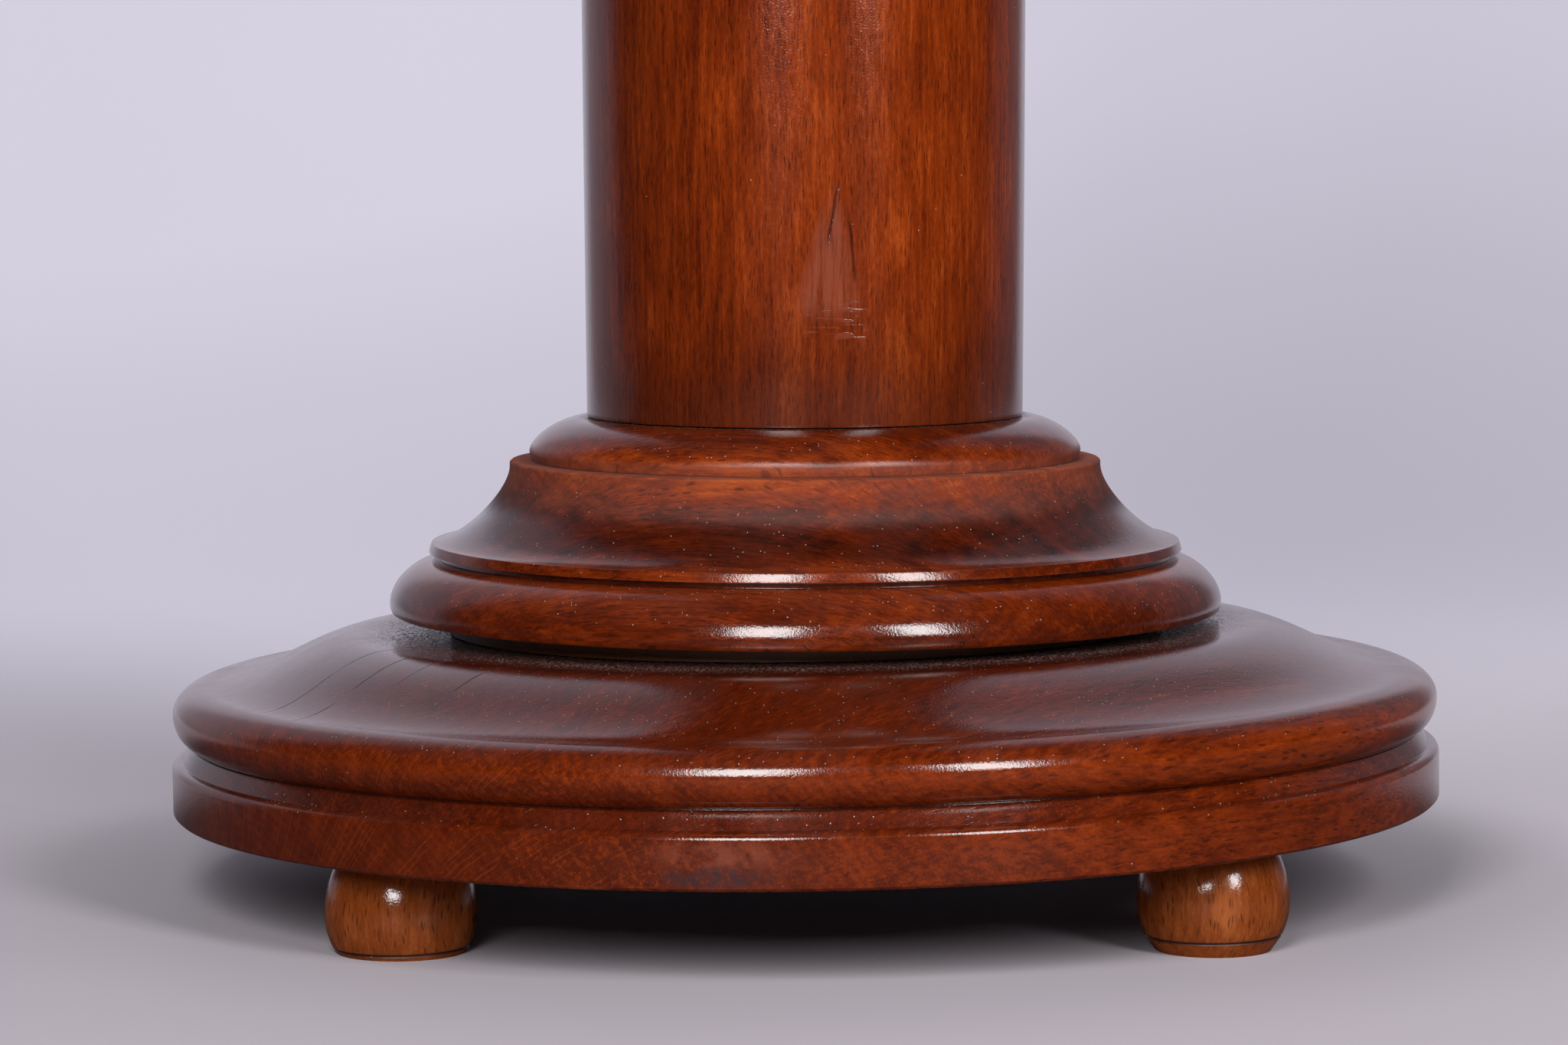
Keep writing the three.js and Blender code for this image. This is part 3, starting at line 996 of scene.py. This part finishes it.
class PEDESTAL_OT_shaft(PedestalOperator, bpy.types.Operator):
    """Turn the shaft with its slight swelling and dress the repaired dent low on its front"""

    bl_idname = "pedestal.shaft"
    bl_label = "Shaft"

    scuff_middle = (7 * MM, 0.0, 186 * MM)
    scuff_half = (10.5 * MM, 100 * MM, 24 * MM)

    def execute(self, context):
        sizes = context.scene.pedestal_shaft
        finish = context.scene.pedestal_finish
        foot = low("shaft")
        length = high("shaft") - foot

        def radius_at(rise):
            below = rise < sizes.belly_height
            end = sizes.foot_radius if below else sizes.top_radius
            span = sizes.belly_height if below else length - sizes.belly_height
            return sizes.belly_radius - (sizes.belly_radius - end) * ((rise - sizes.belly_height) / span) ** 2

        steps = 48
        section = Section(foot)
        for step in range(steps + 1):
            rise = length * step / steps
            section.to(radius_at(rise), foot + rise)
        piece = turn_piece("turned_shaft", section.close())
        log = Log((-0.035, 0.12, 0), girth=0.13, ray_spacing=0.6 * MM, ray_length=8 * MM)

        def repair(n, parts):
            """The milky repair, its scratches and cracks, and a darkening towards the foot and the left."""
            mapping = n.add("ShaderNodeMapping", vector_type="TEXTURE")
            n.feed(mapping.inputs["Vector"], parts["place"])
            mapping.inputs["Location"].default_value = self.scuff_middle
            mapping.inputs["Scale"].default_value = self.scuff_half
            scuff = n.group(shared_group("Repair scuff", repair_scuff), place=mapping.outputs[0])
            x, y, z = n.split(parts["place"])
            cloudy = n.times(n.noise(parts["place"], scale=1 / (30 * MM), detail=3.0), 30 * MM)
            low_down = n.ramp(n.plus(z, cloudy), foot + 66 * MM, foot + 14 * MM)
            left = n.ramp(n.plus(x, cloudy), -4 * MM, -44 * MM)
            darker_low_and_left = n.larger(n.times(low_down, 0.5), n.times(left, 0.35))
            parts["colour"] = n.mix(darker_low_and_left, parts["colour"], finish.shadow)
            scratched = n.times(scuff["Scratch"], 0.5)
            milk = n.larger(n.times(scuff["Milk"], 0.74), scratched)
            parts["colour"] = n.mix(milk, parts["colour"], finish.milk)
            parts["colour"] = n.mix(n.times(scuff["Crack"], 0.7), parts["colour"], finish.fleck)
            parts["rough"] = n.scaled(scuff["Milk"], 0.06, parts["rough"])
            parts["height"] = n.scaled(scuff["Crack"], -14.0, parts["height"])
            parts["height"] = n.scaled(scuff["Scratch"], 2.0, parts["height"])

        def depth(n, parts):
            """Lighter up the middle, by the place across X."""
            x = n.split(parts["place"])[0]
            return n.profile(x, (
                (-63 * MM, 0.50), (-30 * MM, 0.46), (-9 * MM, 0.50), (-2 * MM, 0.62), (5 * MM, 0.52),
                (34 * MM, 0.54), (63 * MM, 0.47),
            ))

        material = polished_wood(
            "polished_beech_shaft", log, dark_stain(finish), tone=0.6, cloud=0.5, depth=depth, extra=repair
        )
        finish_piece(piece, ["shaft"], material)
        return {"FINISHED"}


class PEDESTAL_OT_capital(PedestalOperator, bpy.types.Operator):
    """Turn the capital: bead, bell, fillet, ovolo and abacus"""

    bl_idname = "pedestal.capital"
    bl_label = "Capital"

    def execute(self, context):
        sizes = context.scene.pedestal_capital
        finish = context.scene.pedestal_finish
        shaft_top = context.scene.pedestal_shaft.top_radius
        section = (
            Section(low("capital"))
            .to(shaft_top, low("capital"))
            .level_to_upright(sizes.bead_projection, sizes.bead_height / 2, steps=8)
            .upright_to_level(-sizes.bead_projection, sizes.bead_height / 2, steps=8)
            .upright_to_level(sizes.bell_width, sizes.bell_rise, steps=24)
            .by(0, sizes.bell_fillet)
            .by(sizes.bell_step, 0)
            .level_to_upright(sizes.ovolo_width, sizes.ovolo_rise, steps=16)
        )
        section.to(section.pen[0], high("capital")).close()
        piece = turn_piece("turned_capital", section)
        log = Log((0.02, 0.05, 0.93), math.radians(60), girth=0.15)
        material = polished_wood("polished_beech_capital", log, dark_stain(finish), tone=0.55)
        finish_piece(piece, ["capital"], material)
        return {"FINISHED"}


class PEDESTAL_OT_top_board(PedestalOperator, bpy.types.Operator):
    """Turn the round top board with its nose, groove and rounded edge"""

    bl_idname = "pedestal.top_board"
    bl_label = "Top board"

    def execute(self, context):
        sizes = context.scene.pedestal_board
        finish = context.scene.pedestal_finish
        foot, top = low("top_board"), high("top_board")
        round_foot = foot + sizes.nose_lower_rise + sizes.nose_upper_rise + sizes.groove_height
        section = (
            Section(foot)
            .to(sizes.radius - sizes.nose_width, foot)
            .level_to_upright(sizes.nose_width, sizes.nose_lower_rise)
            .upright_to_level(-sizes.groove_depth, sizes.nose_upper_rise)
            .by(0, sizes.groove_height)
            .to(sizes.radius - sizes.round_width, round_foot)
            .level_to_upright(sizes.round_width, sizes.round_rise, steps=8)
            .to(sizes.radius, top - sizes.arris)
            .by(-sizes.arris, sizes.arris)
            .close()
        )
        piece = turn_piece("turned_top_board", section)
        log = Log((0.04, 0.0, 0.98), math.radians(-30), girth=0.12)
        material = polished_wood(
            "dark_beech_board", log, dark_stain(finish, 0.02), tone=0.66, cloud=0.5, dust=0.5
        )
        finish_piece(piece, ["top_board"], material)
        return {"FINISHED"}


class PEDESTAL_OT_bun_feet(PedestalOperator, bpy.types.Operator):
    """Turn the bun foot once, set four copies under the disc and saw them level at the floor"""

    bl_idname = "pedestal.bun_feet"
    bl_label = "Bun feet"

    def foot_section(self, sizes, steps=14):
        belly = -sizes.shoulder_rise
        groove_top = sizes.groove_drop - sizes.groove_width / 2
        groove_bottom = sizes.groove_drop + sizes.groove_width / 2

        def lower(drop):
            return math.sqrt(sizes.belly_radius ** 2 - drop ** 2)

        section = Section(belly - sizes.toe_drop)
        section.to(sizes.toe_radius, section.pen[1])
        section.to(lower(groove_bottom), belly - groove_bottom)
        section.to(lower(sizes.groove_drop) - sizes.groove_depth, belly - sizes.groove_drop)
        for step in range(steps + 1):
            drop = groove_top * (1 - step / steps)
            section.to(lower(drop), belly - drop)
        for step in range(1, steps + 1):
            rise = sizes.shoulder_rise * step / steps
            section.to(sizes.belly_radius * math.sqrt(1 - (rise / sizes.shoulder_curve) ** 2), belly + rise)
        return section.close()

    def execute(self, context):
        sizes = context.scene.pedestal_feet
        disc = context.scene.pedestal_disc
        underside = disc_underside()
        model = turn_piece("bun_foot_model", self.foot_section(sizes), sides=96)
        half = foot_spacing() / 2
        for depth, y in (("front", -half), ("back", half)):
            for side, x in (("left", -half), ("right", half)):
                place = (x, y, underside - sizes.joint)
                self.set_foot(context, model, f"foot_{depth}_{side}", place, disc.lean)
        bpy.data.objects.remove(model)
        return {"FINISHED"}

    def set_foot(self, context, model, node, place, lean):
        foot = model.copy()
        foot.data = model.data.copy()
        foot.name = "turned_" + node
        context.collection.objects.link(foot)
        bpy.ops.object.select_all(action="DESELECT")
        foot.select_set(True)
        context.view_layer.objects.active = foot
        move_and_lean(place)
        cut_below((0, 0, 0), (0, 0, 1))
        sizes = context.scene.pedestal_feet
        finish = context.scene.pedestal_finish
        pith = (place[0] * 0.7, place[1] + 60 * MM, 0)
        log = Log(pith, girth=0.06, ray_spacing=0.8 * MM, ray_length=7 * MM)
        groove = disc_underside() - sizes.joint - sizes.shoulder_rise - sizes.groove_drop

        def shaded_groove(n, parts):
            """Painted shade in the groove over the toe, and a rougher polish there."""
            x, y, z = n.split(parts["place"])
            level = n.scaled(x, -math.tan(lean), n.minus(z, groove))
            groove_shade = n.ramp(n.positive(level), 0.8 * MM, 0.35 * MM, 0.0, 0.65)
            # Painted shade: the groove darkened towards the fleck colour.
            parts["colour"] = n.mix(groove_shade, parts["colour"], finish.fleck)
            parts["rough"] = n.scaled(groove_shade, 0.5, parts["rough"])

        material = polished_wood(
            "pale_beech_" + node, log, pale_stain(finish), tone=0.5, wear=0.6, dust=0.3, extra=shaded_groove
        )
        finish_piece(foot, [node], material)


# Studio

def lamp(name, azimuth, width, settings):
    """A softbox that looks at the base of the column."""
    slope = math.tan(settings.lamp_elevation)
    direction = Vector((math.sin(azimuth), -math.cos(azimuth), slope)).normalized()
    place = direction * settings.lamp_distance
    bpy.ops.object.light_add(type="AREA", location=place)
    light = bpy.context.object
    light.name = name
    light.rotation_euler = direction.to_track_quat("Z", "Y").to_euler()
    light.data.shape = "RECTANGLE"
    light.data.size = width
    light.data.size_y = settings.lamp_height
    light.data.energy = settings.lamp_power * width / settings.left_lamp_width
    light.visible_camera = False


def room_light(settings):
    """A world that is pale behind the pedestal and dark in front of it."""
    world = bpy.data.worlds.new("studio")
    bpy.context.scene.world = world
    world.use_nodes = True
    n = Nodes(world.node_tree)
    toward = n.split(n.add("ShaderNodeTexCoord").outputs["Generated"])
    behind = n.ramp(toward[1], 0.3, 0.85)
    seen = n.add("ShaderNodeLightPath").outputs["Is Camera Ray"]
    shade = n.mix(n.larger(behind, seen), settings.dark_room, settings.room)
    n.feed(world.node_tree.nodes["Background"].inputs["Color"], shade)


def sweep(settings):
    """The floor and the wall behind, in one bent sheet."""
    bpy.ops.object.select_all(action="DESELECT")
    bpy.ops.mesh.primitive_plane_add(size=2.0, location=(0, 0, 0))
    sheet = bpy.context.object
    sheet.name = "floor_sweep"
    depth = (settings.sweep_front + settings.sweep_depth) / 2
    with whole_mesh():
        bpy.ops.transform.resize(value=(settings.sweep_width, depth, 1), center_override=(0, 0, 0))
        bpy.ops.transform.translate(value=(0, settings.sweep_depth - depth, 0))
        bpy.ops.mesh.select_all(action="DESELECT")
    for edge in sheet.data.edges:
        edge.select = all(sheet.data.vertices[v].co.y > settings.sweep_depth - MM for v in edge.vertices)
    bpy.ops.object.mode_set(mode="EDIT")
    bpy.ops.mesh.select_mode(type="EDGE")
    bpy.ops.mesh.extrude_region_move(TRANSFORM_OT_translate={"value": (0, 0, settings.sweep_height)})
    bpy.ops.object.mode_set(mode="OBJECT")
    bend = sheet.modifiers.new("bend", "BEVEL")
    bend.width = settings.sweep_bend
    bend.segments = 24
    bend.limit_method = "ANGLE"
    bpy.ops.object.modifier_apply(modifier=bend.name)
    bpy.ops.object.shade_smooth()
    material = bpy.data.materials.new("floor_paint")
    material.use_nodes = True
    shader = material.node_tree.nodes["Principled BSDF"]
    n = Nodes(material.node_tree)
    place = n.add("ShaderNodeTexCoord").outputs["Object"]
    cloud = n.ramp(n.noise(place, scale=3.0, detail=2.0), 0.3, 0.7)
    paler = tuple(min(1.0, part * 1.04) for part in settings.floor)
    x, y, z = n.split(place)
    path = n.add("ShaderNodeLightPath").outputs
    mirrored = path["Is Glossy Ray"]
    beside = n.ramp(n.positive(x), 0.7 * settings.paper_half, settings.paper_half)
    side = n.times(n.ramp(x, -0.1, 0.1, 0.45, 0.7), beside)
    front = n.times(n.ramp(y, 1.5 * settings.paper_front, 0.5 * settings.paper_front), 0.9)
    lit = n.minus(1.0, n.times(n.larger(side, front), mirrored))
    paint = n.mix(cloud, tuple(settings.floor), paler)
    n.feed(shader.inputs["Base Color"], n.mix(lit, (0.0, 0.0, 0.0), paint))
    rise = n.times(n.ramp(y, 0.05, 0.9), n.ramp(z, 0.02, 0.3, 0.76, 1.12))
    wall = n.times(rise, n.ramp(x, 0.5, -0.5, 0.82, 1.12), lit)
    disc_reach = reach("base_disc")
    behind = n.times(n.ramp(y, -0.3, 0.1), n.ramp(y, 1.0, 0.4))
    clear = n.ramp(n.vector("LENGTH", place), disc_reach, 1.6 * disc_reach)
    beyond = n.times(behind, clear, n.ramp(x, -0.3, 0.3, 0.5, 1.0), lit)
    light = n.mix(wall, (0.0, 0.0, 0.0), tuple(settings.glow))
    light = n.mix(beyond, light, tuple(settings.floor_glow), blend="ADD")
    outskirts = n.larger(n.ramp(y, -0.9, -2.2), n.ramp(n.positive(x), 0.8, 2.0))
    light = n.mix(n.times(outskirts, path["Is Camera Ray"]), light, tuple(settings.room))
    n.feed(shader.inputs["Emission Color"], light)
    outside = n.add("ShaderNodeNewGeometry").outputs["Backfacing"]
    n.feed(shader.inputs["Alpha"], n.minus(1.0, outside))
    shader.inputs["Emission Strength"].default_value = 1.0
    shader.inputs["Roughness"].default_value = 0.7
    shader.inputs["Specular IOR Level"].default_value = 0.25
    sheet.data.materials.append(material)


def camera(settings):
    place = Vector((0, -settings.camera_distance, settings.camera_height))
    look = (
        Matrix.Rotation(settings.camera_yaw, 4, "Z")
        @ Matrix.Rotation(math.pi / 2 - settings.camera_pitch, 4, "X")
        @ Matrix.Rotation(settings.camera_roll, 4, "Z")
    )
    bpy.ops.object.camera_add(location=place, rotation=look.to_euler())
    viewer = bpy.context.object
    viewer.data.lens = settings.lens
    viewer.data.sensor_width = 36.0
    viewer.data.clip_start = 0.05
    bpy.context.scene.camera = viewer


class PEDESTAL_OT_stage(PedestalOperator, bpy.types.Operator):
    """Set the pale sweep, two softboxes, the room's light and the camera"""

    bl_idname = "pedestal.stage"
    bl_label = "Stage"

    def execute(self, context):
        settings = context.scene.pedestal_studio
        sweep(settings)
        lamp("left_softbox", settings.left_lamp_azimuth, settings.left_lamp_width, settings)
        lamp("right_softbox", settings.right_lamp_azimuth, settings.right_lamp_width, settings)
        room_light(settings)
        camera(settings)
        context.scene.view_settings.view_transform = "Standard"
        return {"FINISHED"}


STEPS = (
    PEDESTAL_OT_base_disc,
    PEDESTAL_OT_column_base,
    PEDESTAL_OT_shaft,
    PEDESTAL_OT_capital,
    PEDESTAL_OT_top_board,
    PEDESTAL_OT_bun_feet,
    PEDESTAL_OT_stage,
)


class PEDESTAL_PT_panel(bpy.types.Panel):
    """The pedestal's pieces and stage, in the order in which they are made"""

    bl_idname = "PEDESTAL_PT_panel"
    bl_label = "Display Pedestal"
    bl_space_type = "VIEW_3D"
    bl_region_type = "UI"
    bl_category = "Pedestal"

    def draw(self, context):
        for step in STEPS:
            self.layout.operator(step.bl_idname)
        for name, group in SETTINGS.items():
            box = self.layout.box()
            box.label(text=group.__name__)
            for key in group.__annotations__:
                box.prop(getattr(context.scene, name), key)


CLASSES = (*SETTINGS.values(), *STEPS, PEDESTAL_PT_panel)


def register():
    for entry in CLASSES:
        bpy.utils.register_class(entry)
    for name, group in SETTINGS.items():
        setattr(bpy.types.Scene, name, PointerProperty(type=group))


def unregister():
    for name in SETTINGS:
        delattr(bpy.types.Scene, name)
    for entry in reversed(CLASSES):
        bpy.utils.unregister_class(entry)


def main():
    register()
    for step in STEPS:
        family, name = step.bl_idname.split(".")
        getattr(getattr(bpy.ops, family), name)()


if __name__ == "__main__":
    main()
